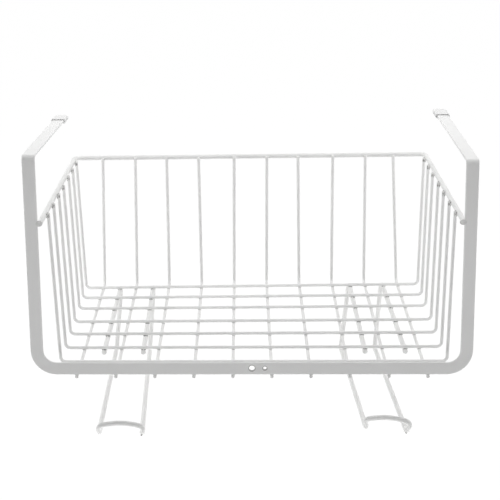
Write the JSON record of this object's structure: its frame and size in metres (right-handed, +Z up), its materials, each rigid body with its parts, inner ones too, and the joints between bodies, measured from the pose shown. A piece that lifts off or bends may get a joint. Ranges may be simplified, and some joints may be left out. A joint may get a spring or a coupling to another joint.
{
  "type": "under shelf basket",
  "caption": "White wire basket that hangs below a shelf from two flat strip arms with plastic end caps, with two wire brackets under its floor.",
  "frame": {"origin": "on the ground under the brackets, midway between the two sides and between the front strip and the rear wires", "axes": "+X to the right as seen from the front, +Y back from the front strip towards the rear wires, +Z up"},
  "size_m": [0.412, 0.2833, 0.2766],
  "materials": {
    "powder_coat": "white powder coat, satin",
    "cap_plastic": "white soft plastic, matt"
  },
  "bodies": {
    "root": {"front_frame": "powder_coat", "left_arm_cap": "cap_plastic", "right_arm_cap": "cap_plastic", "rim_rod": "powder_coat", "cross_wire_1": "powder_coat", "cross_wire_2": "powder_coat", "cross_wire_3": "powder_coat", "cross_wire_4": "powder_coat", "cross_wire_5": "powder_coat", "cross_wire_6": "powder_coat", "cross_wire_7": "powder_coat", "long_wire_1": "powder_coat", "long_wire_2": "powder_coat", "long_wire_3": "powder_coat", "long_wire_4": "powder_coat", "long_wire_5": "powder_coat", "long_wire_6": "powder_coat", "long_wire_7": "powder_coat", "long_wire_8": "powder_coat", "long_wire_9": "powder_coat", "long_wire_10": "powder_coat", "left_bracket": "powder_coat", "right_bracket": "powder_coat"}
  },
  "joints": []
}
